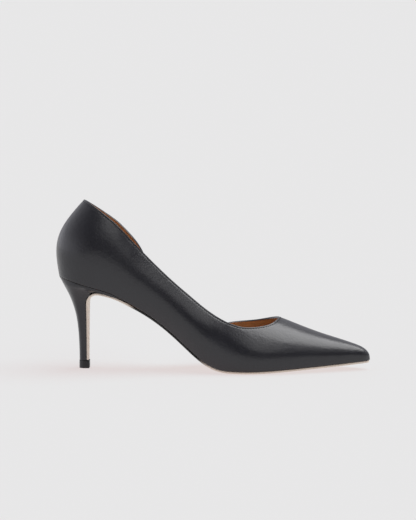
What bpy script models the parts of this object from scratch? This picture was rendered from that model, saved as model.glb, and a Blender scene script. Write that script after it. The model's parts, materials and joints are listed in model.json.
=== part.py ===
# Right-foot d'Orsay pump: pointed toe, slim covered heel, high closed outer side and
# an inner side cut away at the arch. X runs from heel to toe, -Y is the outer side,
# +Z is up, and the floor is z = 0. Lengths are metres.

import math

import bmesh
import bpy
import numpy as np

# Driving sizes of the last
SHOE_LENGTH = 0.250  # back of the counter to the tip of the toe, along the floor
BALL_WIDTH = 0.076  # bottom edge of the upper, across the ball
SEAT_LENGTH = 0.0269  # middle of the heel seat to its back edge
HEEL_HEIGHT = 0.0745  # floor to the back edge of the heel seat
HEEL_PITCH = math.radians(16)  # slope of the heel seat
INSTEP_HEIGHT = 0.066  # top line of the last above its bottom, at mid length
TOE_SPRING = 0.0056  # lift of the sole at the tip
TIP_ROUND = 0.0055  # length over which the outline rounds off at the tip
NOSE_DROP = 0.012  # length over which the top of the toe drops to the sole

# Driving sizes of the pieces
WALL = 0.0018  # upper leather and lining together
SOLE_THICKNESS = 0.0018
INSOLE_THICKNESS = 0.0022
TOP_PIECE_HEIGHT = 0.0062
PIN_LENGTH = 0.0056  # heel at its foot, front to back
PIN_WIDTH = 0.0094  # heel at its foot, side to side
PIN_ROUND = 0.55  # share of its depth that is rounded at the back
BREAST_SETBACK = 0.0218  # back of the shoe to the front face of the heel
BREAST_RADIUS = 0.010  # curve from the front of the heel to the underside of its wings
WING_DEPTH = 0.0034  # thickness of the wings where that curve ends
WING_SLOPE = math.radians(8)  # of their underside there
WING_REACH = 0.058  # back of the shoe to the front end of the heel's wings
WING_TIP_DEPTH = 0.0005  # underside of the wings' thin front ends, below the last
SOLE_INSET = 0.0006  # sole edge inside the bottom edge of the upper
WAIST_INSET = 0.0006  # the same, added at the narrow waist
EDGE_EASE = 0.0005  # rounding of the sole's and insole's edges
TOP_PIECE_LIP = 0.0002  # top piece beyond the heel all round
INSOLE_CLEARANCE = 0.0006  # insole to the inside of the upper
GAP = 0.0003  # between pieces that meet

# Places along the shoe, as shares of its length from the back
SEAT_MIDDLE = 0.112
LEAN_END = 0.56  # sections stand upright from here forward
SPRING_START = 0.612
WAIST_MIDDLE = 0.33
WAIST_SPREAD = 0.13
THROAT = 0.726  # share of the way round from heel to tip, see around_to_along
SEAT_AROUND = 0.16  # the same measure at the middle of the heel seat
BREAST_STRAIGHT = 0.45  # shares of the way up the heel's front where its straight part ends,
BREAST_CURVED = 0.75  # and where the curve under its wings ends
WING_FADE = 0.020  # share of the length over which the sole rises again past the wings
SPRING_CURVE = 1.25  # 1 is a straight rise to the tip, more is a curved one

# Squareness of the rounded ends
SEAT_SQUARENESS = 2.3
TIP_SQUARENESS = 2.0
NOSE_SQUARENESS = 3.0
PIN_SQUARENESS = 2.0

# Mesh density
GIRTH_STEPS = 12  # bottom edge to topline
TOPLINE_STEPS = 36  # back of the heel to the throat
VAMP_STEPS = 20  # throat to the tip
THROAT_FAN = 0.062  # how far rows lean forward from the throat, as a share of the way round
FAN_GATHER = 4  # the lean starts late along the topline, and
ROW_BEND = 3  # it comes late down each row
SOLE_STEPS = 34
SEAT_STEPS = 16
HEEL_SIDE_STEPS = 12
STRAIGHT_STEPS, CURVE_STEPS, WING_STEPS = 5, 8, 4  # up the heel's front and along its wings
VAMP_CLOSING = 0.35  # how far rows close up towards a rounded end: 1 is as a quarter circle
PLATE_CLOSING = 0.6
SHORTEST_ROW = 0.002  # straight end of a plate at a rounded tip
SLOPE_STEP = 0.01  # shares over which slopes are measured
OUTLINE_STEP = 1e-4
WING_END_STEP = 0.125
MERGE = 1e-6  # points closer than this are one
CREASE_ANGLE = math.radians(40)  # edges sharper than this are shaded sharp
EASED_ANGLE = math.radians(50)  # and those of plates sharper than this are rounded

# Height of the last's bottom above the tread, as a share of the seat's height
BOTTOM_COLUMNS = ("along", "rise")
BOTTOM = (
    (0.112, 1.000),
    (0.180, 0.921),
    (0.241, 0.792),
    (0.310, 0.628),
    (0.379, 0.418),
    (0.434, 0.224),
    (0.475, 0.094),
    (0.517, 0.016),
    (0.552, -0.003),
    (0.606, -0.003),
    (0.700, 0.000),
    (1.000, 0.000),
)

# Widths are shares of half the ball width, heights are shares of the instep height.
# lateral, medial: bottom edge; bulge: how far the wall swells past it; ridge: top line.
SECTION_COLUMNS = (
    "along", "lateral", "medial", "bulge", "wide_height", "ridge_height", "ridge_side", "fullness",
)
SECTIONS = (
    (0.112, 0.632, 0.632, 0.122, 0.245, 1.200, 0.000, 0.690),
    (0.200, 0.600, 0.560, 0.155, 0.245, 0.950, 0.005, 0.680),
    (0.300, 0.520, 0.440, 0.190, 0.240, 0.830, 0.020, 0.675),
    (0.400, 0.560, 0.430, 0.175, 0.270, 0.820, 0.040, 0.680),
    (0.500, 0.745, 0.635, 0.115, 0.255, 0.890, 0.060, 0.680),
    (0.560, 0.890, 0.825, 0.080, 0.180, 0.830, 0.078, 0.685),
    (0.620, 0.970, 0.960, 0.056, 0.125, 0.728, 0.092, 0.692),
    (0.680, 0.930, 0.985, 0.046, 0.130, 0.630, 0.102, 0.700),
    (0.760, 0.755, 0.860, 0.040, 0.150, 0.492, 0.104, 0.708),
    (0.840, 0.530, 0.650, 0.036, 0.140, 0.360, 0.092, 0.716),
    (0.920, 0.305, 0.420, 0.031, 0.115, 0.247, 0.070, 0.725),
    (1.000, 0.050, 0.135, 0.026, 0.080, 0.125, 0.045, 0.735),
)

# The counter's middle line: out is a share of SEAT_LENGTH, height of INSTEP_HEIGHT
COUNTER_COLUMNS = ("out", "height")
COUNTER = (
    (1.000, 0.000),
    (1.335, 0.370),
    (0.980, 0.900),
    (0.000, 1.394),
)

# Edge of the opening. girth is 0 at the bottom edge and 1 on the top line of the last.
TOPLINE_COLUMNS = ("around", "girth")
LATERAL_TOPLINE = (
    (0.000, 0.634),
    (0.040, 0.649),
    (0.080, 0.667),
    (0.120, 0.678),
    (0.160, 0.660),
    (0.200, 0.638),
    (0.240, 0.648),
    (0.280, 0.657),
    (0.320, 0.638),
    (0.360, 0.619),
    (0.400, 0.616),
    (0.440, 0.622),
    (0.480, 0.616),
    (0.550, 0.568),
    (0.610, 0.512),
    (0.660, 0.543),
    (0.700, 0.630),
    (0.718, 0.775),
    (THROAT, 1.000),
)
MEDIAL_TOPLINE = (
    (0.000, 0.634),
    (0.040, 0.634),
    (0.080, 0.641),
    (0.120, 0.644),
    (0.160, 0.626),
    (0.200, 0.606),
    (0.240, 0.621),
    (0.265, 0.617),
    (0.281, 0.585),
    (0.297, 0.500),
    (0.315, 0.340),
    (0.337, 0.155),
    (0.375, 0.070),
    (0.430, 0.090),
    (0.490, 0.270),
    (0.550, 0.440),
    (0.620, 0.515),
    (0.680, 0.620),
    (0.714, 0.785),
    (THROAT, 1.000),
)

# The heel, from its foot to the seat. breast is the share of the way up the front.
# height and back are those of the back edge: shares of the seat height and of the run
# from the seat's back edge to the foot's. flare goes from the pin's width to the seat's.
HEEL_COLUMNS = ("breast", "height", "back", "flare")
HEEL = (
    (0.000, 0.000, 1.000, 0.000),
    (0.100, 0.160, 0.990, 0.020),
    (0.200, 0.330, 0.955, 0.060),
    (0.290, 0.480, 0.885, 0.130),
    (0.370, 0.600, 0.780, 0.220),
    (0.450, 0.710, 0.620, 0.375),
    (0.540, 0.800, 0.455, 0.555),
    (0.650, 0.880, 0.280, 0.750),
    (0.790, 0.945, 0.130, 0.910),
    (1.000, 1.000, 0.000, 1.000),
)

BLACK_LEATHER = ("black_leather", (0.020, 0.020, 0.022), 0.38)
TAN_SOLE = ("tan_sole", (0.72, 0.50, 0.36), 0.55)
TAN_LINING = ("tan_lining", (0.42, 0.24, 0.11), 0.6)
BLACK_RUBBER = ("black_rubber", (0.015, 0.015, 0.016), 0.5)


def spline_through(knots, values, start_slope=None):
    """A smooth curve through the values, with straight ends or a set first slope."""
    knots = np.asarray(knots, float)
    values = np.asarray(values, float)
    count = len(knots)
    step = np.diff(knots)
    slope = (np.diff(values, axis=0).T / step).T
    system = np.eye(count)
    right = np.zeros_like(values)
    for i in range(1, count - 1):
        system[i, i - 1 : i + 2] = step[i - 1], 2 * (step[i - 1] + step[i]), step[i]
        right[i] = 6 * (slope[i] - slope[i - 1])
    if start_slope is not None:
        system[0, :2] = 2 * step[0], step[0]
        right[0] = 6 * (slope[0] - start_slope)
    bend = np.linalg.solve(system, right)

    def at(t):
        i = int(np.clip(np.searchsorted(knots, t) - 1, 0, count - 2))
        a = (knots[i + 1] - t) / step[i]
        b = 1 - a
        curved = ((a**3 - a) * bend[i] + (b**3 - b) * bend[i + 1]) * step[i] ** 2 / 6
        return a * values[i] + b * values[i + 1] + curved

    return at


def column(table, names, name):
    return [row[names.index(name)] for row in table]


def smooth_step(t):
    t = min(max(t, 0.0), 1.0)
    return t * t * (3 - 2 * t)


def blunt(share, squareness):
    """Falls from 1 to 0 as share goes from 0 to 1, along a rounded end."""
    share = min(max(share, 0.0), 1.0)
    return (1 - share**squareness) ** (1 / squareness)


def closing(share, start):
    """Spacing that starts gently and closes up towards the end, where an outline rounds off."""
    return math.sin(math.pi / 2 * share * (start + (1 - start) * share))


def x_at(along):
    return (along - 0.5) * SHOE_LENGTH


HALF_BALL = BALL_WIDTH / 2
TREAD_TOP = SOLE_THICKNESS + GAP
SEAT_RUN = SEAT_LENGTH * math.cos(HEEL_PITCH)
SEAT_MIDDLE_HEIGHT = HEEL_HEIGHT - SEAT_LENGTH * math.sin(HEEL_PITCH)
SEAT_MIDDLE_X = x_at(SEAT_MIDDLE)
SEAT_BACK_X = SEAT_MIDDLE_X - SEAT_RUN
SEAT_BACK_ALONG = SEAT_BACK_X / SHOE_LENGTH + 0.5
WING_ALONG = SEAT_BACK_ALONG + WING_REACH / SHOE_LENGTH
BREAST_X = SEAT_BACK_X + BREAST_SETBACK

rise_at = spline_through(
    column(BOTTOM, BOTTOM_COLUMNS, "along"),
    column(BOTTOM, BOTTOM_COLUMNS, "rise"),
    start_slope=-math.tan(HEEL_PITCH) * SHOE_LENGTH / (SEAT_MIDDLE_HEIGHT - TREAD_TOP),
)
section_size = {
    name: spline_through(
        column(SECTIONS, SECTION_COLUMNS, "along"),
        column(SECTIONS, SECTION_COLUMNS, name),
        start_slope=0,
    )
    for name in SECTION_COLUMNS[1:]
}


def bottom_height(along):
    """Height of the last's bottom, which the upper's edge follows."""
    if along < SEAT_MIDDLE:
        return SEAT_MIDDLE_HEIGHT + (SEAT_MIDDLE - along) * SHOE_LENGTH * math.tan(HEEL_PITCH)
    arch = max(rise_at(along), 0.0) * (SEAT_MIDDLE_HEIGHT - TREAD_TOP)
    spring = max((along - SPRING_START) / (1 - SPRING_START), 0.0) ** SPRING_CURVE * TOE_SPRING
    return TREAD_TOP + arch + spring


def half_widths(along):
    """Outline of the last's bottom: outer and inner edge, as distances from the middle line."""
    if along < SEAT_MIDDLE:
        back = (SEAT_MIDDLE - along) * SHOE_LENGTH / SEAT_RUN
        half = section_size["lateral"](SEAT_MIDDLE) * HALF_BALL * blunt(back, SEAT_SQUARENESS)
        return half, half
    lateral = section_size["lateral"](along) * HALF_BALL
    medial = section_size["medial"](along) * HALF_BALL
    middle = (medial - lateral) / 2
    tip = 1 - (1 - along) * SHOE_LENGTH / TIP_ROUND
    half = (medial + lateral) / 2 * blunt(tip, TIP_SQUARENESS)
    return half - middle, half + middle


def section_corners(along, side):
    """One half of a section: bottom edge, widest point, shoulder and ridge, as (out, up)."""
    sizes = {name: at(along) for name, at in section_size.items()}
    edge = half_widths(along)[0 if side < 0 else 1]
    nose = blunt(1 - (1 - along) * SHOE_LENGTH / NOSE_DROP, NOSE_SQUARENESS)
    tip = blunt(1 - (1 - along) * SHOE_LENGTH / TIP_ROUND, TIP_SQUARENESS)
    bulge = sizes["bulge"] * HALF_BALL * tip
    wide = sizes["wide_height"] * INSTEP_HEIGHT * nose
    ridge = sizes["ridge_height"] * INSTEP_HEIGHT * nose
    lateral, medial = half_widths(along)
    middle = (medial - lateral) / 2
    ridge_y = middle + (sizes["ridge_side"] * HALF_BALL - middle) * tip
    full = sizes["fullness"]
    reach = edge + bulge - side * ridge_y
    return (
        (edge, 0.0),
        (edge + bulge, wide),
        (side * ridge_y + reach * full, wide + (ridge - wide) * full),
        (side * ridge_y, ridge),
    )


def counter_corners(turn):
    """The same points on a plane turned from the side (0) to the back (1) of the heel seat."""
    side = section_corners(SEAT_MIDDLE, -1)
    c, s = math.cos(turn * math.pi / 2), math.sin(turn * math.pi / 2)
    corners = []
    for (out, up), (back_out, back_up) in zip(side, COUNTER):
        back_out *= SEAT_LENGTH
        if out > 0 and back_out > 0:
            n = SEAT_SQUARENESS
            out = ((c / out) ** n + (s / back_out) ** n) ** (-1 / n)
        corners.append((out, up * c * c + back_up * INSTEP_HEIGHT * s * s))
    return corners


def section_curve(lateral, medial):
    """The section through both halves' points: a function of girth and side that gives (y, up)."""
    points = [(-out, up) for out, up in lateral] + [(out, up) for out, up in reversed(medial[:-1])]
    points = np.array(points)
    spans = np.maximum(np.linalg.norm(np.diff(points, axis=0), axis=1), MERGE)
    knots = np.concatenate([[0], np.cumsum(spans)])
    knots -= knots[len(lateral) - 1]
    curve = spline_through(knots, points)
    return lambda girth, side: curve((1 - girth) * (knots[0] if side < 0 else knots[-1]))


def around_to_along(around):
    return SEAT_MIDDLE + (around - SEAT_AROUND) * (1 - SEAT_MIDDLE) / (1 - SEAT_AROUND)


def last_point(side, around, girth):
    """A point on the last. around is 0 at the back and 1 at the tip of the toe, girth is 0 at
    the bottom edge and 1 on the ridge."""
    if around < SEAT_AROUND:
        turn = 1 - around / SEAT_AROUND
        corners = counter_corners(turn)
        y, up = section_curve(corners, corners)(girth, side)
        angle = turn * math.pi / 2
        back, across = abs(y) * math.sin(angle), y * math.cos(angle)
        x, z, lean = SEAT_MIDDLE_X, SEAT_MIDDLE_HEIGHT, HEEL_PITCH
    else:
        along = min(around_to_along(around), 1.0)
        y, up = section_curve(section_corners(along, -1), section_corners(along, 1))(girth, side)
        back, across = 0.0, y
        x, z = x_at(along), bottom_height(along)
        lean = HEEL_PITCH * (1 - smooth_step((along - SEAT_MIDDLE) / (LEAN_END - SEAT_MIDDLE)))
    return (
        x - back * math.cos(lean) + up * math.sin(lean),
        across,
        z + back * math.sin(lean) + up * math.cos(lean),
    )


def topline_curve(table):
    """The edge of the opening on one side: a function of the share of its length from the back."""
    rows = np.array(table)
    first, last = rows[1] * (-1, 1), rows[-2] * (1, -1) + (0, 2)
    rows = np.vstack([first, rows, last])
    scale = np.array([SHOE_LENGTH, INSTEP_HEIGHT])
    knots = np.concatenate([[0], np.cumsum(np.linalg.norm(np.diff(rows, axis=0) * scale, axis=1))])
    curve = spline_through(knots, rows)
    return lambda share: curve(knots[1] + share * (knots[-2] - knots[1]))


def wall_row(side, top_around, top_girth, foot_around):
    """Points from the bottom edge of the upper to its topline, leaning forward to foot_around."""
    row = []
    for step in range(GIRTH_STEPS + 1):
        share = step / GIRTH_STEPS
        around = top_around + (foot_around - top_around) * (1 - share**ROW_BEND)
        row.append(last_point(side, around, top_girth * share))
    return row


def quarter_rows(side, table):
    """Rows from the back of the heel to the throat on one side."""
    curve = topline_curve(table)
    rows = []
    for step in range(TOPLINE_STEPS + 1):
        share = step / TOPLINE_STEPS
        around, girth = curve(share)
        fan = THROAT_FAN * share**FAN_GATHER
        rows.append(wall_row(side, around, min(girth, 1.0), around + fan))
    return rows


def vamp_rows():
    """Whole rows from the throat to the tip, outer edge to inner edge."""
    rows = []
    for step in range(VAMP_STEPS + 1):
        share = step / VAMP_STEPS
        top = THROAT + (1 - THROAT) * closing(share, VAMP_CLOSING)
        foot = top + THROAT_FAN * (1 - smooth_step(share))
        outer = wall_row(-1, top, 1.0, min(foot, 1.0))
        inner = wall_row(1, top, 1.0, min(foot, 1.0))
        rows.append(outer + inner[-2::-1])
    return rows


def add_grid(mesh, rows):
    verts = [[mesh.verts.new(point) for point in row] for row in rows]
    for near, far in zip(verts, verts[1:]):
        for i in range(len(near) - 1):
            mesh.faces.new((near[i], near[i + 1], far[i + 1], far[i]))


def material(name, colour, roughness):
    made = bpy.data.materials.get(name)
    if made is None:
        made = bpy.data.materials.new(name)
        made.use_nodes = True
        shader = made.node_tree.nodes["Principled BSDF"]
        shader.inputs["Base Color"].default_value = (*colour, 1)
        shader.inputs["Roughness"].default_value = roughness
        shader.inputs["Metallic"].default_value = 0.0
    return made


def finish_object(name, mesh, finish, collection, parent):
    """Makes a named object of a bmesh, with its material and smooth shading."""
    data = bpy.data.meshes.new(name)
    mesh.to_mesh(data)
    mesh.free()
    data.materials.append(material(*finish))
    data.shade_smooth()
    data.set_sharp_from_angle(angle=CREASE_ANGLE)
    made = bpy.data.objects.new(name, data)
    collection.objects.link(made)
    made.parent = parent
    return made


def make_upper(collection, parent):
    """Vamp and quarters in one: a sheet over the last, open at the collar, the arch and underneath."""
    mesh = bmesh.new()
    outer = quarter_rows(-1, LATERAL_TOPLINE)
    inner = quarter_rows(1, MEDIAL_TOPLINE)
    add_grid(mesh, outer[::-1] + inner[1:])
    add_grid(mesh, vamp_rows())
    bmesh.ops.remove_doubles(mesh, verts=mesh.verts, dist=MERGE)
    bmesh.ops.recalc_face_normals(mesh, faces=mesh.faces)
    foremost = max(mesh.faces, key=lambda face: face.calc_center_median().x)
    if foremost.normal.x < 0:
        bmesh.ops.reverse_faces(mesh, faces=mesh.faces)
    upper = finish_object("upper", mesh, BLACK_LEATHER, collection, parent)
    shell = upper.modifiers.new("wall", "SOLIDIFY")
    shell.thickness = WALL
    shell.offset = -1
    shell.use_even_offset = True
    return upper


def along_of(x):
    return x / SHOE_LENGTH + 0.5


def edge_points(along, inset):
    """The two ends of a straight row across the bottom outline moved inwards, as (x, y)."""
    ahead = min(along + OUTLINE_STEP, 1.0)
    behind = max(along - OUTLINE_STEP, SEAT_BACK_ALONG)
    run = (ahead - behind) * SHOE_LENGTH
    points = []
    for side, near, far, width in zip((-1, 1), half_widths(behind), half_widths(ahead), half_widths(along)):
        turn = math.atan2(far - near, run)
        points.append((x_at(along) + inset * math.sin(turn), side * (width - inset * math.cos(turn))))
    return points


def sole_inset(along):
    waist = math.exp(-(((along - WAIST_MIDDLE) / WAIST_SPREAD) ** 2))
    return SOLE_INSET + WAIST_INSET * waist


def breast_point(share):
    """Middle line of the heel's front face and of its wings' underside: foot (0) to wing tips (1)."""
    foot_z = TOP_PIECE_HEIGHT + GAP
    centre_x = BREAST_X + BREAST_RADIUS
    centre_z = bottom_height(along_of(centre_x)) - WING_DEPTH - BREAST_RADIUS
    if share < BREAST_STRAIGHT:
        return BREAST_X, foot_z + (centre_z - foot_z) * share / BREAST_STRAIGHT
    part = min((share - BREAST_STRAIGHT) / (BREAST_CURVED - BREAST_STRAIGHT), 1.0)
    angle = part * (math.pi / 2 + WING_SLOPE)
    x = centre_x - BREAST_RADIUS * math.cos(angle)
    z = centre_z + BREAST_RADIUS * math.sin(angle)
    if share <= BREAST_CURVED:
        return x, z
    part = (share - BREAST_CURVED) / (1 - BREAST_CURVED)
    end_x = x_at(WING_ALONG)
    end_z = bottom_height(WING_ALONG) - WING_TIP_DEPTH
    run = end_x - x
    step = run * WING_END_STEP
    end_slope = (bottom_height(WING_ALONG) - bottom_height(along_of(end_x - step))) / step
    start_pull = part * (1 - part) ** 2 * run * -math.tan(WING_SLOPE)
    end_pull = -(part**2) * (1 - part) * run * end_slope
    return x + run * part, z + (end_z - z) * smooth_step(part) + start_pull + end_pull


heel_size = {
    name: spline_through(column(HEEL, HEEL_COLUMNS, "breast"), column(HEEL, HEEL_COLUMNS, name))
    for name in HEEL_COLUMNS[1:]
}


def breast_levels():
    """Places up the heel's front, closest together round its curve."""
    straight = np.linspace(0, BREAST_STRAIGHT, STRAIGHT_STEPS + 1)
    curved = np.linspace(BREAST_STRAIGHT, BREAST_CURVED, CURVE_STEPS + 1)
    wing = np.linspace(BREAST_CURVED, 1, WING_STEPS + 1)
    return [float(level) for level in (*straight, *curved[1:], *wing[1:])]


def heel_ring(level, lip=0.0, front_extra=0.0):
    """One level of the heel, from one front corner round its back to the other."""
    height, back, flare = (float(heel_size[name](level)) for name in HEEL_COLUMNS[1:])
    foot_z = TOP_PIECE_HEIGHT + GAP
    back_z = foot_z + (HEEL_HEIGHT - GAP - foot_z) * height
    back_x = SEAT_BACK_X + (BREAST_X - PIN_LENGTH - SEAT_BACK_X) * back - lip
    front_x, front_z = breast_point(level)
    front_x += lip + front_extra
    sides = ([], [])
    for step in range(HEEL_SIDE_STEPS + 1):
        share = 1 - math.cos(step / HEEL_SIDE_STEPS * math.pi / 2)
        pin = (PIN_WIDTH / 2 + lip) * blunt(1 - share / PIN_ROUND, PIN_SQUARENESS)
        seat = half_widths(SEAT_BACK_ALONG + (WING_ALONG - SEAT_BACK_ALONG) * share)
        x = back_x + (front_x - back_x) * share
        z = back_z + (front_z - back_z) * share
        for side, points, width in zip((-1, 1), sides, seat):
            wide = max(width - GAP, 0.0) if share > 0 else 0.0
            points.append((x, side * (pin + (wide - pin) * flare), z))
    return sides[0][::-1] + sides[1][1:]


def loft_solid(name, rings, finish, collection, parent):
    """A closed body through rings that run from one front corner round the back to the other."""
    mesh = bmesh.new()
    verts = [[mesh.verts.new(point) for point in ring] for ring in rings]
    count = len(verts[0])
    for near, far in zip(verts, verts[1:]):
        for i in range(count):
            j = (i + 1) % count
            mesh.faces.new((near[i], near[j], far[j], far[i]))
    for ring in (verts[0], verts[-1]):
        for i in range(count // 2 - 1):
            mesh.faces.new((ring[i], ring[i + 1], ring[-2 - i], ring[-1 - i]))
        mesh.faces.new(ring[count // 2 - 1 : count // 2 + 2])
    bmesh.ops.recalc_face_normals(mesh, faces=mesh.faces)
    return finish_object(name, mesh, finish, collection, parent)


def make_heel(collection, parent):
    rings = [heel_ring(level) for level in breast_levels()[:-1]]
    rings.append([(x, y, bottom_height(along_of(x)) - GAP) for x, y, _ in heel_ring(1.0)])
    return loft_solid("heel", rings, BLACK_LEATHER, collection, parent)


def make_top_piece(collection, parent):
    """The walking surface of the heel, which also carries the end of the sole."""
    ring = heel_ring(0.0, TOP_PIECE_LIP, GAP + SOLE_THICKNESS)
    rings = [[(x, y, z) for x, y, _ in ring] for z in (0.0, TOP_PIECE_HEIGHT)]
    return loft_solid("top_piece", rings, BLACK_RUBBER, collection, parent)


def plate(name, rows, thickness, offset, finish, collection, parent):
    """A bent plate on rows of two points, below them (offset -1) or above (1), with eased edges."""
    mesh = bmesh.new()
    add_grid(mesh, rows)
    bmesh.ops.recalc_face_normals(mesh, faces=mesh.faces)
    if sum(face.normal.z * face.calc_area() for face in mesh.faces) < 0:
        bmesh.ops.reverse_faces(mesh, faces=mesh.faces)
    made = finish_object(name, mesh, finish, collection, parent)
    shell = made.modifiers.new("thickness", "SOLIDIFY")
    shell.thickness = thickness
    shell.offset = offset
    shell.use_even_offset = True
    easing = made.modifiers.new("edges", "BEVEL")
    easing.width = EDGE_EASE
    easing.segments = 2
    easing.limit_method = "ANGLE"
    easing.angle_limit = EASED_ANGLE
    return made


def tread_stations():
    """Places from just past the heel's wing tips to the tip, shared by sole and insole."""
    shares = [closing(i / SOLE_STEPS, PLATE_CLOSING) for i in range(1, SOLE_STEPS + 1)]
    return [WING_ALONG + (1 - WING_ALONG) * share for share in shares]


def flap_rows():
    """Top side of the sole on the heel: down its front face, from the wing tips to the top piece."""
    rows = []
    for level in breast_levels():
        ahead = np.array(breast_point(min(level + SLOPE_STEP, 1)))
        behind = np.array(breast_point(max(level - SLOPE_STEP, 0)))
        run = (ahead - behind) / np.linalg.norm(ahead - behind)
        x, z = np.array(breast_point(level)) + GAP * np.array((run[1], -run[0]))
        flare = float(heel_size["flare"](level))
        outer, inner = (
            PIN_WIDTH / 2 + (width - sole_inset(WING_ALONG) - PIN_WIDTH / 2) * flare
            for width in half_widths(WING_ALONG)
        )
        rows.append([(float(x), -outer, float(z)), (float(x), inner, float(z))])
    return rows


def tread_rows():
    """Top side of the sole from the heel's wing tips to the tip of the toe."""
    rows = []
    for along in tread_stations():
        outer, inner = edge_points(along, sole_inset(along))
        if inner[1] - outer[1] < SHORTEST_ROW:
            continue
        drop = GAP + WING_TIP_DEPTH * (1 - smooth_step((along - WING_ALONG) / WING_FADE))
        z = bottom_height(along) - drop
        rows.append([(*outer, z), (*inner, z)])
    return rows


def make_outsole(collection, parent):
    rows = flap_rows() + tread_rows()
    return plate("outsole", rows, SOLE_THICKNESS, -1, TAN_SOLE, collection, parent)


def make_insole(collection, parent):
    """Lies inside the upper, on the sole and the heel seat."""
    rows = []
    seat = [1 - closing(1 - i / SEAT_STEPS, PLATE_CLOSING) for i in range(SEAT_STEPS + 1)]
    seat = [SEAT_BACK_ALONG + (WING_ALONG - SEAT_BACK_ALONG) * share for share in seat]
    for along in seat + tread_stations():
        outer, inner = edge_points(along, WALL + INSOLE_CLEARANCE)
        if inner[1] - outer[1] > SHORTEST_ROW:
            z = bottom_height(along_of(outer[0]))
            rows.append([(*outer, z), (*inner, z)])
    return plate("insole", rows, INSOLE_THICKNESS, 1, TAN_LINING, collection, parent)


def main():
    for old in list(bpy.data.objects):
        bpy.data.objects.remove(old)
    collection = bpy.data.collections.new("dorsay_pump")
    bpy.context.scene.collection.children.link(collection)
    parent = bpy.data.objects.new("pump", None)
    collection.objects.link(parent)
    make_upper(collection, parent)
    make_insole(collection, parent)
    make_outsole(collection, parent)
    make_heel(collection, parent)
    make_top_piece(collection, parent)


main()
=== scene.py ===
# Looks of a black leather half-d'Orsay pump, the right shoe, on a slim covered heel.
# Lengths are metres, +X is the toe, -Y the outer side, +Z up.

import json
import math

import bmesh
import bpy
from mathutils import Matrix, Vector
from mathutils.bvhtree import BVHTree

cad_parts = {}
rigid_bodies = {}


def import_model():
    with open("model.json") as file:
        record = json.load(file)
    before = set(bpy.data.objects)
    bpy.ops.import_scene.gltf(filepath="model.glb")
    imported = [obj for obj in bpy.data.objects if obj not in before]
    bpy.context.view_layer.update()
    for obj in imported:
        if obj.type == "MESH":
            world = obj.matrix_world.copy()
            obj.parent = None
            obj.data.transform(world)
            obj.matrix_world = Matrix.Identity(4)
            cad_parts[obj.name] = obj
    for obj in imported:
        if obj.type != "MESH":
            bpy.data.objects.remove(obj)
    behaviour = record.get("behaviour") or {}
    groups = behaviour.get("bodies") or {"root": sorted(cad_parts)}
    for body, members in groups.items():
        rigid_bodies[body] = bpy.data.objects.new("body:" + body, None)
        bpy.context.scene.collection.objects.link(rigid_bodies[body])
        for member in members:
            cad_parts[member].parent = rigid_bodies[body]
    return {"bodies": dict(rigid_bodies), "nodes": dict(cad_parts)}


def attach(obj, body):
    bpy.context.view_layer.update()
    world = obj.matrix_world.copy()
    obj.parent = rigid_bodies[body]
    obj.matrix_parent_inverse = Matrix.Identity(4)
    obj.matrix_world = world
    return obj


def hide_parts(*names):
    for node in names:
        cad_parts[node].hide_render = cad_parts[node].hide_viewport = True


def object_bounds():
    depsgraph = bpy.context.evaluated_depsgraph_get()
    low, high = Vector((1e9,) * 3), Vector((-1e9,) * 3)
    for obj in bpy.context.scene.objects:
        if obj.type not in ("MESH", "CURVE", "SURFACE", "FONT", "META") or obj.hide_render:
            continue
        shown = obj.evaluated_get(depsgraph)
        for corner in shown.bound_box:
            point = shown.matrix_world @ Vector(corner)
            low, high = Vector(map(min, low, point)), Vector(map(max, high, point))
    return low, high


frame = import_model()
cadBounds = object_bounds()
body = "root" if "root" in frame["bodies"] else next(iter(frame["bodies"]))
low, high = cadBounds
length, width, height = high - low

meshing = {
    "weld": 2e-6,  # corners closer than this are one corner
    "joinAngle": math.radians(60),  # triangles that bend less than this join into larger faces
    "regionAngle": math.radians(60),  # sharper edges part the inside, the outside and the rims
    "sharpAngle": math.radians(50),  # sharper edges are creased, rounded and shaded as edges
    "bevelSteps": 3,
    "marked": 0.999,  # an attribute above this counts as set after smoothing
}


def spot(along, across, up):  # a place given in shares of the shoe's box
    return Vector((low.x + length * along, low.y + width * across, low.z + height * up))


# Shader maths

class Wire:  # a socket that works like a number in an expression
    def __init__(self, paint, socket):
        self.paint = paint
        self.socket = socket

    def maths(self, operation, *values):
        inputs = dict(enumerate((self, *values)))
        return self.paint.node("ShaderNodeMath", {"operation": operation}, inputs)

    def __add__(self, other):
        return self.maths("ADD", other)

    def __sub__(self, other):
        return self.maths("SUBTRACT", other)

    def __rsub__(self, other):
        return self.paint.node("ShaderNodeMath", {"operation": "SUBTRACT"}, {0: other, 1: self})

    def __mul__(self, other):
        return self.maths("MULTIPLY", other)

    __radd__ = __add__
    __rmul__ = __mul__

    def between(self, start, end):  # 0 below start, 1 above end, smooth in between
        settings = {"interpolation_type": "SMOOTHSTEP"}
        return self.paint.node("ShaderNodeMapRange", settings, {0: self, 1: start, 2: end})

    def near(self, place, reach):  # 1 at the place, fading to 0 at its reach
        return 1 - (self - place).maths("ABSOLUTE").between(0.0, reach)


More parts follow.
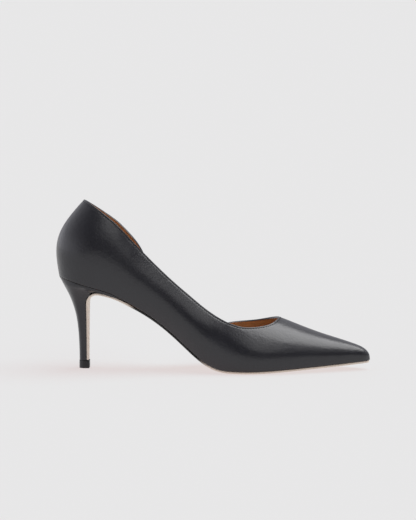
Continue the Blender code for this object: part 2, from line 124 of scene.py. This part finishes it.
class Paint:  # a material's nodes, or the world's
    def __init__(self, name, blocks=bpy.data.materials, shader="Principled BSDF", place="Object"):
        self.material = blocks.new(name)
        self.material.use_nodes = True
        self.tree = self.material.node_tree
        self.shader = self.tree.nodes[shader]
        self.place = self.node("ShaderNodeTexCoord", output=place)

    def node(self, kind, settings=None, inputs=None, output=0):
        made = self.tree.nodes.new(kind)
        for name, value in (settings or {}).items():
            setattr(made, name, value)
        for name, value in (inputs or {}).items():
            self.plug(made.inputs[name], value)
        return Wire(self, made.outputs[output])

    def plug(self, socket, value):
        if isinstance(value, Wire):
            self.tree.links.new(value.socket, socket)
        elif hasattr(value, "__len__") and len(value) == 3 and len(socket.default_value) == 4:
            socket.default_value = (*value, 1)
        else:
            socket.default_value = value

    def set(self, **values):  # Base_Color=... goes to the shader's Base Color
        for name, value in values.items():
            self.plug(self.shader.inputs[name.replace("_", " ")], value)

    def mix(self, share, first, second):
        settings = {"data_type": "RGBA"}
        return self.node("ShaderNodeMix", settings, {0: share, 6: first, 7: second}, output=2)

    def noise(self, scale, detail=3.0, roughness=0.55, stretch=None):
        place = self.stretched(stretch) if stretch else self.place
        inputs = {"Vector": place, "Scale": scale, "Detail": detail, "Roughness": roughness}
        return self.node("ShaderNodeTexNoise", None, inputs)

    def cells(self, scale, feature="F1", smooth=None):
        inputs = {"Vector": self.place, "Scale": scale}
        if smooth is not None:
            feature, inputs["Smoothness"] = "SMOOTH_F1", smooth
        return self.node("ShaderNodeTexVoronoi", {"feature": feature}, inputs)

    def stretched(self, scale):
        return self.node("ShaderNodeMapping", None, {"Vector": self.place, "Scale": scale})

    def axis(self, letter):
        return self.node("ShaderNodeSeparateXYZ", None, {0: self.place}, output=letter)

    def bump(self, *layers):  # layers of (height, strength, distance), the broadest first
        normal = None
        for depth, strength, distance in layers:
            inputs = {"Height": depth, "Strength": strength, "Distance": distance}
            if normal:
                inputs["Normal"] = normal
            normal = self.node("ShaderNodeBump", None, inputs)
        self.set(Normal=normal)


# Mesh helpers

def copyOf(node):  # a CAD node's mesh with its loose triangles joined up again
    mesh = bmesh.new()
    mesh.from_mesh(frame["nodes"][node].data)
    bmesh.ops.remove_doubles(mesh, verts=mesh.verts, dist=meshing["weld"])
    for layer in list(mesh.loops.layers.uv):
        mesh.loops.layers.uv.remove(layer)
    bmesh.ops.join_triangles(
        mesh, faces=mesh.faces, angle_face_threshold=meshing["joinAngle"],
        angle_shape_threshold=math.pi, topology_influence=1.0,
    )
    for face in mesh.faces:
        face.smooth = True
        face.material_index = 0
    return mesh


def regionsOf(mesh):  # groups of faces that meet along soft edges, largest first
    seen, groups = set(), []
    for start in mesh.faces:
        if start in seen:
            continue
        seen.add(start)
        group, waiting = [], [start]
        while waiting:
            face = waiting.pop()
            group.append(face)
            for edge in face.edges:
                if len(edge.link_faces) == 2 and edge.calc_face_angle() < meshing["regionAngle"]:
                    for other in edge.link_faces:
                        if other not in seen:
                            seen.add(other)
                            waiting.append(other)
        groups.append(group)
    groups.sort(key=lambda group: -sum(face.calc_area() for face in group))
    return groups


def creaseSharp(mesh):
    crease = mesh.edges.layers.float.new("crease_edge")
    for edge in mesh.edges:
        if len(edge.link_faces) == 2 and edge.calc_face_angle() > meshing["sharpAngle"]:
            edge[crease] = 1.0


def addPiece(name, mesh, materials, nodes=(), levels=0, bevel=0.0):
    data = bpy.data.meshes.new(name)
    mesh.to_mesh(data)
    mesh.free()
    piece = bpy.data.objects.new(name, data)
    bpy.context.scene.collection.objects.link(piece)
    for paint in materials:
        data.materials.append(paint)
    if levels:
        smooth = piece.modifiers.new("smooth", "SUBSURF")
        smooth.levels = smooth.render_levels = levels
        smooth.boundary_smooth = "PRESERVE_CORNERS"
    if bevel:
        edges = piece.modifiers.new("edges", "BEVEL")
        edges.width = bevel
        edges.segments = meshing["bevelSteps"]
        edges.limit_method = "ANGLE"
        edges.angle_limit = meshing["sharpAngle"]
    settle(piece)
    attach(piece, body)
    if nodes:
        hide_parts(*nodes)
    return piece


def settle(piece):  # applies the modifiers
    graph = bpy.context.evaluated_depsgraph_get()
    made = bpy.data.meshes.new_from_object(piece.evaluated_get(graph))
    piece.modifiers.clear()
    piece.data = made
    made.shade_smooth()
    made.set_sharp_from_angle(angle=meshing["sharpAngle"])


def markedIn(piece, name):  # for each vertex, whether the attribute is set
    return [item.value > meshing["marked"] for item in piece.data.attributes[name].data]


def loopOf(piece, name):  # vertices of the closed line marked in an attribute, in order
    marked = markedIn(piece, name)
    links = {}
    for edge in piece.data.edges:
        a, b = edge.vertices
        if marked[a] and marked[b]:
            links.setdefault(a, []).append(b)
            links.setdefault(b, []).append(a)
    start = next(iter(links))
    path, before = [start], None
    while True:
        onward = [other for other in links[path[-1]] if other != before]
        before = path[-1]
        if not onward or onward[0] == start:
            return path
        path.append(onward[0])


def evenly(points, pitch):  # (point, direction) at even steps round a closed line
    runs = [(b - a).length for a, b in zip(points, points[1:] + points[:1])]
    count = round(sum(runs) / pitch)
    step = sum(runs) / count
    places, passed, i = [], 0.0, 0
    for k in range(count):
        while passed + runs[i] < k * step:
            passed += runs[i]
            i += 1
        a, b = points[i], points[(i + 1) % len(points)]
        places.append((a.lerp(b, (k * step - passed) / runs[i]), (b - a).normalized()))
    return places


def fold(piece, folds, overrun, farOff):  # soft troughs and ridges along lines on the surface
    mesh = piece.data
    normals = [vert.normal.copy() for vert in mesh.vertices]
    for start, end, reach, depth in folds:
        a, b = spot(*start), spot(*end)
        along = b - a
        for vert, normal in zip(mesh.vertices, normals):
            share = (vert.co - a).dot(along) / along.length_squared
            if -overrun < share < 1 + overrun:
                off = (vert.co - a - along * min(max(share, 0.0), 1.0)).length / reach
                if off < farOff:
                    fade = math.sin(math.pi * (share + overrun) / (1 + 2 * overrun)) ** 2
                    vert.co += normal * depth * fade * math.exp(-off * off)
    mesh.update()


# Materials

# A scale counts per metre, a bump is (strength, depth in metres), and a gloss is a roughness.
blackLook = {
    "tones": ((0.0088, 0.0086, 0.0128), (0.0138, 0.0134, 0.0184)),
    "gloss": 0.33,
    "glossOfClouds": 0.08,
    "glossOfWrinkles": 0.05,
    "specular": 0.5,
    "coat": 0.3,
    "coatRoughness": 0.22,
    "cloudScale": 60,
    "waveScale": 130,
    "waveBump": (0.6, 0.00060),
    "mottleScale": 520,
    "mottleBump": (0.5, 0.00014),
    "wrinkleScale": 620,
    "wrinkleWidth": 0.16,
    "wrinkleBump": (0.22, 0.00006),
    "poreScale": 2600,
    "poreSoftness": 0.25,
    "poreBump": (0.28, 0.00008),
    "fineScale": 5200,
    "fineBump": (0.15, 0.00003),
    "seamReach": (0.02, 0.03),  # the back seam fades out this far in front of the counter's back
    "seamWidth": 0.0005,
    "seamBump": (0.8, 0.00025),
}


def blackLeather(name, backSeam=False):
    look = blackLook
    paint = Paint(name)
    clouds = paint.noise(look["cloudScale"], detail=4)
    waves = paint.noise(look["waveScale"])
    mottle = paint.noise(look["mottleScale"])
    wrinkles = paint.cells(look["wrinkleScale"], "DISTANCE_TO_EDGE").between(0.0, look["wrinkleWidth"])
    pores = paint.cells(look["poreScale"], smooth=look["poreSoftness"])
    fine = paint.noise(look["fineScale"], detail=2)
    gloss = look["gloss"] + look["glossOfClouds"] * (clouds - 0.5)
    gloss = gloss + look["glossOfWrinkles"] * (1 - wrinkles)
    paint.set(Base_Color=paint.mix(clouds, *look["tones"]), Roughness=gloss)
    paint.set(Specular_IOR_Level=look["specular"])
    paint.set(Coat_Weight=look["coat"], Coat_Roughness=look["coatRoughness"])
    layers = [
        (waves, *look["waveBump"]), (mottle, *look["mottleBump"]), (wrinkles, *look["wrinkleBump"]),
        (pores, *look["poreBump"]), (fine, *look["fineBump"]),
    ]
    if backSeam:
        start, end = look["seamReach"]
        behind = 1 - paint.axis("X").between(low.x + start, low.x + end)
        seam = paint.axis("Y").near(0.0, look["seamWidth"]) * behind
        layers.insert(0, (1 - seam, *look["seamBump"]))
    paint.bump(*layers)
    return paint.material


caramelLook = {
    "liningTones": ((0.45, 0.25, 0.125), (0.56, 0.33, 0.175)),
    "sockTones": ((0.48, 0.27, 0.14), (0.58, 0.35, 0.19)),
    "gloss": 0.52,
    "glossOfGrain": 0.12,
    "specular": 0.4,
    "cloudScale": 45,
    "poreScale": 1900,
    "poreSoftness": 0.3,
    "poreBump": (0.35, 0.00010),
    "fineScale": 4200,
    "fineBump": (0.25, 0.00004),
}


def caramelLeather(name, tones):
    look = caramelLook
    paint = Paint(name)
    clouds = paint.noise(look["cloudScale"], detail=5)
    pores = paint.cells(look["poreScale"], smooth=look["poreSoftness"])
    fine = paint.noise(look["fineScale"])
    gloss = look["gloss"] + look["glossOfGrain"] * (fine - 0.5)
    paint.set(Base_Color=paint.mix(clouds, *tones), Roughness=gloss, Specular_IOR_Level=look["specular"])
    paint.bump((pores, *look["poreBump"]), (fine, *look["fineBump"]))
    return paint.material


soleLook = {
    "tones": ((0.80, 0.70, 0.61), (0.88, 0.79, 0.70)),
    "fibreTone": (0.68, 0.55, 0.44),
    "fibreShare": 0.35,
    "gloss": 0.42,
    "glossOfClouds": 0.14,
    "cloudScale": 26,
    "fibreScale": 500,
    "fibreStretch": (0.18, 1, 1),
    "fibreBump": (0.2, 0.00008),
    "fineScale": 3600,
    "fineBump": (0.2, 0.00003),
}


def soleBottom():
    look = soleLook
    paint = Paint("sole_bottom")
    clouds = paint.noise(look["cloudScale"], detail=4)
    fibres = paint.noise(look["fibreScale"], detail=5, roughness=0.6, stretch=look["fibreStretch"])
    fine = paint.noise(look["fineScale"])
    tone = paint.mix(clouds, *look["tones"])
    tone = paint.mix(fibres * look["fibreShare"], tone, look["fibreTone"])
    paint.set(Base_Color=tone, Roughness=look["gloss"] + look["glossOfClouds"] * (clouds - 0.5))
    paint.bump((fibres, *look["fibreBump"]), (fine, *look["fineBump"]))
    return paint.material


edgeLook = {
    "tones": ((0.78, 0.65, 0.54), (0.90, 0.80, 0.70)),
    # near-black painted shade on the sole's edge along the waist, for the dark band where the waist
    # tucks under in shadow
    "waistShade": (0.014, 0.013, 0.013),
    "waistShadeStart": (0.2286, 0.2606),  # where the painted shade starts along the waist, in shares of the shoe's length
    "waistShadeEnd": (0.4524, 0.5004),
    "gloss": 0.46,
    "glossOfWaistShade": 0.08,
    "layerScale": 900,
    "layerStretch": (0.08, 0.08, 1),
    "layerBump": (0.25, 0.00006),
}


def soleEdge():
    look = edgeLook
    paint = Paint("sole_edge")
    layers = paint.noise(look["layerScale"], detail=4, roughness=0.6, stretch=look["layerStretch"])
    along = paint.axis("X")
    starts = along.between(*(low.x + length * share for share in look["waistShadeStart"]))
    ends = along.between(*(low.x + length * share for share in look["waistShadeEnd"]))
    # the edge turns near-black along the waist: painted shade, not a colour of the leather
    waistShadeMask = starts * (1 - ends)
    tone = paint.mix(waistShadeMask, paint.mix(layers, *look["tones"]), look["waistShade"])
    paint.set(Base_Color=tone, Roughness=look["gloss"] - look["glossOfWaistShade"] * waistShadeMask)
    paint.bump((layers, *look["layerBump"]))
    return paint.material


rubberLook = {
    "tones": ((0.010, 0.010, 0.011), (0.022, 0.022, 0.023)),
    "gloss": 0.5,
    "glossOfGrain": 0.14,
    "fineScale": 2600,
    "fineBump": (0.3, 0.00006),
}


def rubber():
    look = rubberLook
    paint = Paint("top_piece_rubber")
    fine = paint.noise(look["fineScale"], detail=4, roughness=0.65)
    gloss = look["gloss"] + look["glossOfGrain"] * (fine - 0.5)
    paint.set(Base_Color=paint.mix(fine, *look["tones"]), Roughness=gloss)
    paint.bump((fine, *look["fineBump"]))
    return paint.material


threadLook = {
    "tones": ((0.008, 0.008, 0.009), (0.03, 0.03, 0.032)),
    "gloss": 0.55,
    "glossOfTwist": 0.2,
    "twistScale": 3000,
    "twistBump": (0.4, 0.00008),
}


def thread():
    look = threadLook
    paint = Paint("black_thread")
    twist = paint.noise(look["twistScale"])
    gloss = look["gloss"] + look["glossOfTwist"] * twist
    paint.set(Base_Color=paint.mix(twist, *look["tones"]), Roughness=gloss)
    paint.bump((twist, *look["twistBump"]))
    return paint.material


# Upper: one copy of the shell gives the black skin, folded over the topline, and the lining

upperSizes = {
    "smoothing": 2,
    "edgeCrown": 0.00030,  # rise of the folded edge's middle
    "tuck": 0.00008,  # of the lower edge, down towards the heel and the sole
    "tuckCrease": 0.8,
    # width and rise of rings down from the topline, which make the groove for the stitches
    "edgeRings": ((0.0005, 0.0), (0.0005, 0.0), (0.0005, -0.00028), (0.0005, 0.00028)),
    "stitchDrop": 0.0015,  # topline to the stitches
    "stitchPitch": 0.0021,
    "stitch": (0.00082, 0.00024, 0.00024),  # half length, width and height
    "stitchRise": 0.00007,  # of a stitch's middle above the groove
    "stitchFaces": (8, 6),  # round it and along it
    # start and end of each soft trough as shares of the shoe's box, reach and depth
    "folds": (
        ((0.600, 0.08, 0.13), (0.655, 0.30, 0.24), 0.0045, -0.00022),
        ((0.640, 0.10, 0.10), (0.700, 0.36, 0.22), 0.0035, 0.00014),
        ((0.675, 0.12, 0.08), (0.735, 0.42, 0.20), 0.0040, -0.00016),
        ((0.620, 0.93, 0.12), (0.680, 0.78, 0.24), 0.0045, -0.00020),
        ((0.690, 0.95, 0.10), (0.740, 0.80, 0.20), 0.0040, -0.00014),
        ((0.300, 0.22, 0.52), (0.500, 0.16, 0.24), 0.0050, -0.00020),
        ((0.225, 0.18, 0.62), (0.260, 0.22, 0.76), 0.0040, 0.00015),
        ((0.840, 0.32, 0.10), (0.850, 0.60, 0.17), 0.0040, 0.00010),
    ),
    "foldOverrun": 0.3,  # share of a fold's length that it takes to fade out past each end
    "foldFarOff": 3,  # reaches away from its line at which a fold has died out
}


def tuckLowerEdge(mesh, lastingFaces):  # the faces that meet the sole, the sock and the heel
    crease = mesh.edges.layers.float["crease_edge"]
    for vert in {vert for face in lastingFaces for vert in face.verts}:
        vert.co.z -= upperSizes["tuck"]
    for face in lastingFaces:
        for edge in face.edges:
            if any(other not in lastingFaces for other in edge.link_faces):
                edge[crease] = upperSizes["tuckCrease"]


def crownRim(mesh, rim, topline):  # raises a new line of vertices along the middle of the rim
    outer = mesh.verts.layers.float["outer"]
    edgeLine = mesh.verts.layers.float["edgeLine"]
    across = [
        edge for edge in dict.fromkeys(edge for face in rim for edge in face.edges)
        if (edge.verts[0] in topline) != (edge.verts[1] in topline)
    ]
    made = bmesh.ops.subdivide_edges(mesh, edges=across, cuts=1, use_grid_fill=True)
    mesh.normal_update()
    crown = [item for item in made["geom_inner"] if isinstance(item, bmesh.types.BMVert)]
    lift = [(vert, vert.normal.copy()) for vert in crown]
    for vert, normal in lift:
        vert[outer] = vert[edgeLine] = 0.0
        vert.co += normal * upperSizes["edgeCrown"]


def keepFaces(mesh, index):  # deletes the faces of other materials
    others = [face for face in mesh.faces if face.material_index != index]
    bmesh.ops.delete(mesh, geom=others, context="FACES")
    for face in mesh.faces:
        face.material_index = 0


def makeUpper():
    mesh = copyOf("upper")
    outer = mesh.verts.layers.float.new("outer")
    edgeLine = mesh.verts.layers.float.new("edgeLine")
    mesh.edges.layers.float.new("crease_edge")
    outside, inside, *edges = regionsOf(mesh)
    rim = max(edges, key=lambda group: max(face.calc_center_median().z for face in group))
    print("upper regions", len(outside), len(inside), [len(group) for group in edges])
    tuckLowerEdge(mesh, {face for group in edges if group is not rim for face in group})
    for face in inside:
        face.material_index = 1
    rimFaces = set(rim)
    wall = [face for face in mesh.faces if face not in rimFaces]
    for thickness, rise in upperSizes["edgeRings"]:
        bmesh.ops.inset_region(mesh, faces=wall, thickness=thickness, depth=rise, use_even_offset=False)
    for face in mesh.faces:
        if face.material_index == 0 and face not in rimFaces:
            for vert in face.verts:
                vert[outer] = 1.0
    topline = {vert for face in rim for vert in face.verts if vert[outer] == 1.0}
    for vert in topline:
        vert[edgeLine] = 1.0
    crownRim(mesh, rim, topline)
    lining = mesh.copy()
    keepFaces(mesh, 0)
    keepFaces(lining, 1)
    paint = blackLeather("upper_leather", backSeam=True)
    skin = addPiece(
        "upperLeather", mesh, [paint], ["upper"], levels=upperSizes["smoothing"],
    )
    paint = caramelLeather("lining_leather", caramelLook["liningTones"])
    addPiece("upperLining", lining, [paint], ["upper"], levels=upperSizes["smoothing"])
    return skin


def makeStitches(skin):
    data = skin.data
    path = [data.vertices[i].co.copy() for i in loopOf(skin, "edgeLine")]
    outer = markedIn(skin, "outer")
    faces = [tuple(face.vertices) for face in data.polygons if all(outer[i] for i in face.vertices)]
    surface = BVHTree.FromPolygons([vert.co for vert in data.vertices], faces)
    places = evenly(path, upperSizes["stitchPitch"])
    back, run = min(places, key=lambda place: place[0].x)
    turn = -1 if run.cross(surface.find_nearest(back)[1]).z > 0 else 1  # which way round the line runs
    size = Matrix.Diagonal((*upperSizes["stitch"], 1))
    around, along = upperSizes["stitchFaces"]
    mesh = bmesh.new()
    for point, run in places:
        normal = surface.find_nearest(point)[1]
        for _ in range(2):  # the second time with the direction down at the stitch itself
            down = turn * run.cross(normal).normalized()
            place, normal = surface.find_nearest(point + down * upperSizes["stitchDrop"])[:2]
        down = turn * run.cross(normal).normalized()
        facing = Matrix((down.cross(normal), down, normal)).transposed().to_4x4()
        where = Matrix.Translation(place + normal * upperSizes["stitchRise"]) @ facing @ size
        bmesh.ops.create_uvsphere(mesh, u_segments=around, v_segments=along, radius=1, matrix=where)
    print("stitches", len(places))
    addPiece("toplineStitches", mesh, [thread()])


skin = makeUpper()
fold(skin, upperSizes["folds"], upperSizes["foldOverrun"], upperSizes["foldFarOff"])
makeStitches(skin)
print("upper made")


# Sole, heel, top piece and sock

lowerSizes = {
    "soleSmoothing": 1,
    "heelSmoothing": 2,
    "longRow": 0.0015,  # a row across the shoe that is longer than this is cut up
    "rowStraight": 0.85,  # share of a row's length that runs from side to side
    "rowCuts": 7,
    "edgeTurn": 0.15,  # a face of the sole that turns this far to the side is its edge
    "coverRound": 0.0003,
    "tipRound": 0.0004,
    "sockSpread": 0.0005,  # its soft edge lies against the lining
    "sockEdgeTurn": 0.5,  # a face of the sock that turns up or down less than this is its edge
}


def cutAcross(mesh):  # cuts up the long rows that run from side to side
    rows = []
    for edge in mesh.edges:
        run = edge.verts[0].co - edge.verts[1].co
        if run.length > lowerSizes["longRow"] and abs(run.y) > lowerSizes["rowStraight"] * run.length:
            rows.append(edge)
    bmesh.ops.subdivide_edges(mesh, edges=rows, cuts=lowerSizes["rowCuts"], use_grid_fill=True)


def makeOutsole():
    mesh = copyOf("outsole")
    for face in mesh.faces:
        face.material_index = 1 if abs(face.normal.y) > lowerSizes["edgeTurn"] else 0
    cutAcross(mesh)
    paints = [soleBottom(), soleEdge()]
    addPiece(
        "soleLeather", mesh, paints, ["outsole"], levels=lowerSizes["soleSmoothing"],
    )


def makeHard(node, name, paint, bevel):
    mesh = copyOf(node)
    creaseSharp(mesh)
    addPiece(name, mesh, [paint], [node], levels=lowerSizes["heelSmoothing"], bevel=bevel)


def makeSock():
    mesh = copyOf("insole")
    ways = {}
    for face in mesh.faces:
        if abs(face.normal.z) < lowerSizes["sockEdgeTurn"]:
            for vert in face.verts:
                ways[vert] = ways.get(vert, Vector()) + face.normal * face.calc_area()
    for vert, way in ways.items():
        way.z = 0
        vert.co += way.normalized() * lowerSizes["sockSpread"]
    cutAcross(mesh)
    paint = caramelLeather("sock_leather", caramelLook["sockTones"])
    addPiece("sock", mesh, [paint], ["insole"], levels=lowerSizes["soleSmoothing"])


makeOutsole()
makeHard("heel", "heelCover", blackLeather("heel_cover"), lowerSizes["coverRound"])
makeHard("top_piece", "heelTip", rubber(), lowerSizes["tipRound"])
makeSock()
print("sole and heel made")


# Floor, lights and camera

studio = {
    "floorSize": 60.0,
    "floorGlow": (0.690, 0.592, 0.586),
    "floorTone": (0.09, 0.165, 0.17),
    "floorRoughness": 0.9,
    # name, degrees across, power, degrees from overhead towards the camera, and towards the toe
    "lamps": (
        ("overhead", 58, 2.8, -9, 21),
        ("front", 40, 0.45, 42, 25),
    ),
    "roomTone": (0.98, 0.98, 1.05),
    "frontDark": 0.06,  # brightness of the room in front of the shoe
    "backGlow": 0.40,  # and behind it
    "backFade": (-0.75, 0.35),  # from the one to the other, as a direction's share of +Y
    "heelGlow": 1.05,  # added at the heel's side
    "heelFade": (0.25, 0.95),  # share of -X over which it comes in
    "heelDrop": 0.7,  # part of it that is missing higher up
    "heelDropFade": (0.1, 0.6),  # share of +Z over which that goes
    "cameraTarget": (-0.0041, 0.0, 0.0868),
    "cameraTurn": 3,
    "cameraRise": 6,
    "cameraDistance": 3.0,
    "lens": 261.3,
}


def makeFloor():
    mesh = bmesh.new()
    bmesh.ops.create_grid(mesh, x_segments=1, y_segments=1, size=studio["floorSize"] / 2)
    data = bpy.data.meshes.new("floor")
    mesh.to_mesh(data)
    mesh.free()
    floor = bpy.data.objects.new("floor", data)
    bpy.context.scene.collection.objects.link(floor)
    paint = Paint("studio_floor")
    paint.set(Base_Color=studio["floorTone"], Roughness=studio["floorRoughness"])
    paint.set(Specular_IOR_Level=0.0, Emission_Color=studio["floorGlow"], Emission_Strength=1.0)
    data.materials.append(paint.material)


def makeLamps():
    for name, angle, power, forward, aside in studio["lamps"]:
        sun = bpy.data.lights.new(name, "SUN")
        sun.energy = power
        sun.angle = math.radians(angle)
        lamp = bpy.data.objects.new(name, sun)
        bpy.context.scene.collection.objects.link(lamp)
        lamp.rotation_euler = (math.radians(forward), math.radians(aside), 0)


def makeRoom():
    room = Paint("studio", bpy.data.worlds, "Background", "Generated")
    behind = room.axis("Y").between(*studio["backFade"])
    heelSide = (0 - room.axis("X")).between(*studio["heelFade"])
    heelSide = heelSide * (1 - studio["heelDrop"] * room.axis("Z").between(*studio["heelDropFade"]))
    glow = studio["frontDark"] + behind * (studio["backGlow"] - studio["frontDark"])
    room.set(Color=studio["roomTone"], Strength=glow + heelSide * studio["heelGlow"])
    bpy.context.scene.world = room.material


def makeCamera():
    turn, rise = math.radians(studio["cameraTurn"]), math.radians(studio["cameraRise"])
    back = Vector((math.sin(turn) * math.cos(rise), -math.cos(turn) * math.cos(rise), math.sin(rise)))
    data = bpy.data.cameras.new("camera")
    data.lens = studio["lens"]
    camera = bpy.data.objects.new("camera", data)
    bpy.context.scene.collection.objects.link(camera)
    camera.location = Vector(studio["cameraTarget"]) + back * studio["cameraDistance"]
    camera.rotation_euler = back.to_track_quat("Z", "Y").to_euler()
    bpy.context.scene.camera = camera


makeFloor()
makeLamps()
makeRoom()
makeCamera()
bpy.context.scene.view_settings.view_transform = "Standard"
print("studio made")
